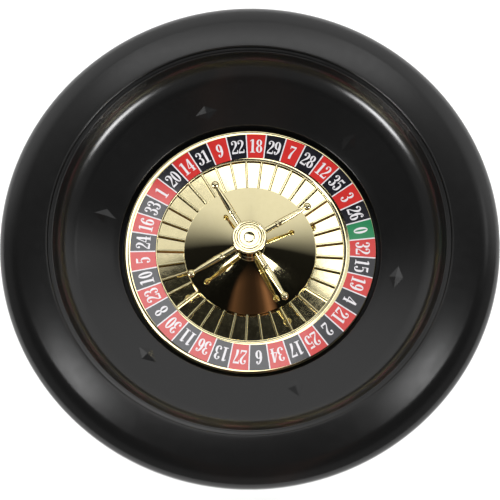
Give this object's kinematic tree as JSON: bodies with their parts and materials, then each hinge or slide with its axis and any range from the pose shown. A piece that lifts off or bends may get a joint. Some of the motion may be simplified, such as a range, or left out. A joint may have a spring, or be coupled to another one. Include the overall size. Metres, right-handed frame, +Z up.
{
  "type": "roulette wheel",
  "caption": "Tabletop roulette wheel: a round black bowl with a sloping ball track, and a gilded rotor with numbered pockets and a handled turret that spins on a bearing.",
  "frame": {"origin": "centre of the plane that the rubber feet stand on, on the axis of the wheel", "axes": "+Z up along the wheel's axis; +X to the right and +Y away from a player who stands in front"},
  "size_m": [0.305, 0.305, 0.0555],
  "materials": {
    "black_plastic": "glossy moulded black",
    "matte_black": "matt moulded black",
    "gold": "vacuum-plated pale gold, mirror bright",
    "print": "printed vinyl, alternating red and black with one green",
    "steel": "bright turned steel",
    "nylon": "natural nylon",
    "rubber": "matt black rubber"
  },
  "bodies": {
    "bowl": {"brim_ring": "black_plastic", "body_shell": "black_plastic", "track_bowl": "black_plastic", "ball_deflectors": "black_plastic", "base_plate": "matte_black", "base_screws": "steel", "rim_screws": "steel", "rubber_feet": "rubber", "spindle": "steel", "spindle_nut": "steel", "spindle_washer": "steel", "retaining_ring": "steel", "bearing_inner_race": "steel"},
    "rotor": {"rotor_plate": "gold", "pocket_ring": "gold", "pocket_frets": "gold", "number_ring": "print", "cone_cover": "gold", "rotor_screws": "steel", "bearing_outer_race": "steel", "bearing_shields": "steel", "turret_foot": "gold", "turret_hub": "gold", "turret_cap": "gold", "turret_button": "gold", "turret_screw": "steel", "arm_1": "gold", "arm_2": "gold", "arm_3": "gold", "arm_4": "gold"},
    "ball_train": {"bearing_cage": "nylon", "bearing_balls": "steel"}
  },
  "joints": [
    {"name": "rotor_spin", "type": "hinge", "parent": "bowl", "child": "rotor", "pos_m": [0, 0, 0.015], "axis": [0, 0, 1], "continuous": true},
    {"name": "ball_train_orbit", "type": "hinge", "parent": "bowl", "child": "ball_train", "pos_m": [0, 0, 0.015], "axis": [0, 0, 1], "continuous": true}
  ],
  "couplings": [
    {"joint": "ball_train_orbit", "follows": "rotor_spin", "ratio": 0.632}
  ]
}
